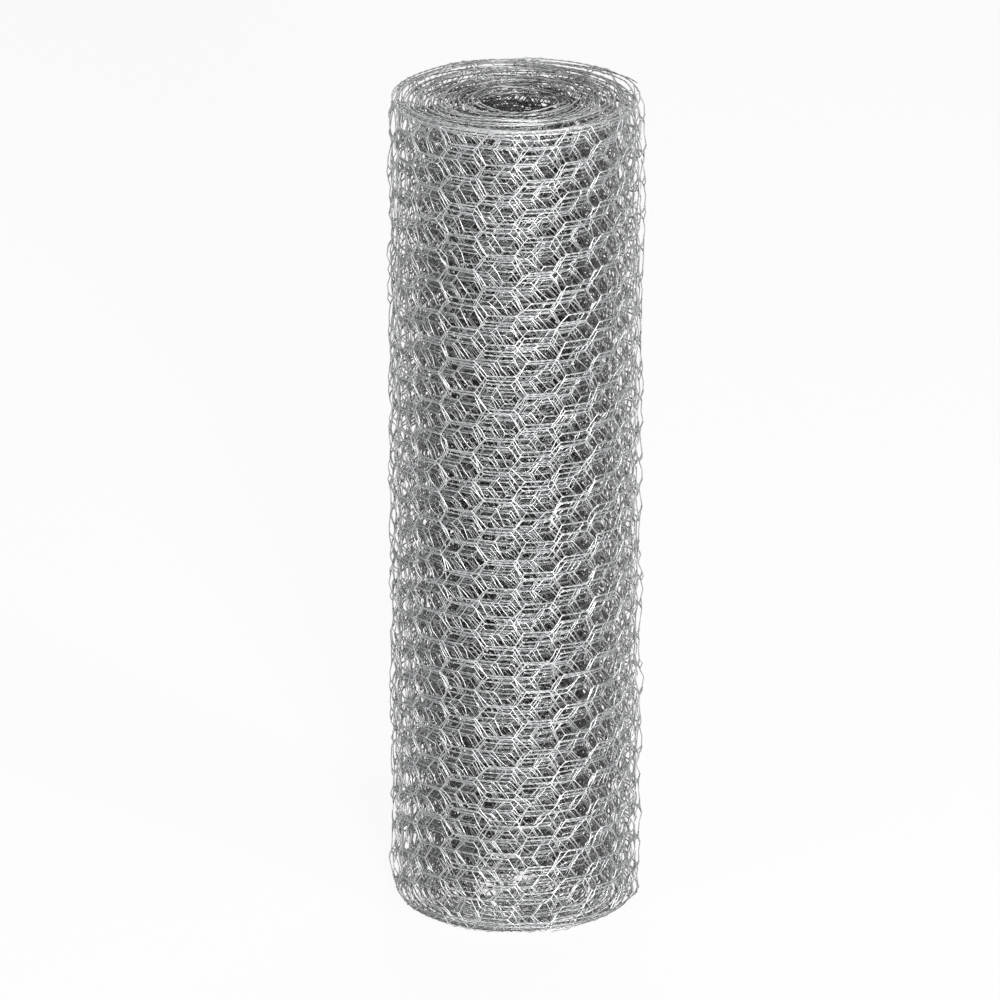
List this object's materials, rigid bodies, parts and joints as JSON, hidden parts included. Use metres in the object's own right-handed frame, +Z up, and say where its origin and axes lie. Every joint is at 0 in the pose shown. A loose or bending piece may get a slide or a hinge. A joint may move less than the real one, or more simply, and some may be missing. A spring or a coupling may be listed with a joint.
{
  "type": "roll of chicken wire",
  "caption": "Upright roll of galvanised hexagonal wire netting with an open bore, drawn-in rims and its turns showing on both ends.",
  "frame": {"origin": "centre of the end that the roll stands on", "axes": "+Z up along the roll's axis; -Y faces the picture's camera; the netting's free end lies at the right and back"},
  "size_m": [0.1484, 0.15, 0.503],
  "materials": {
    "galvanised_wire": "dull galvanised zinc on fine steel wire"
  },
  "bodies": {
    "root": {"netting_roll": "galvanised_wire"}
  },
  "joints": []
}
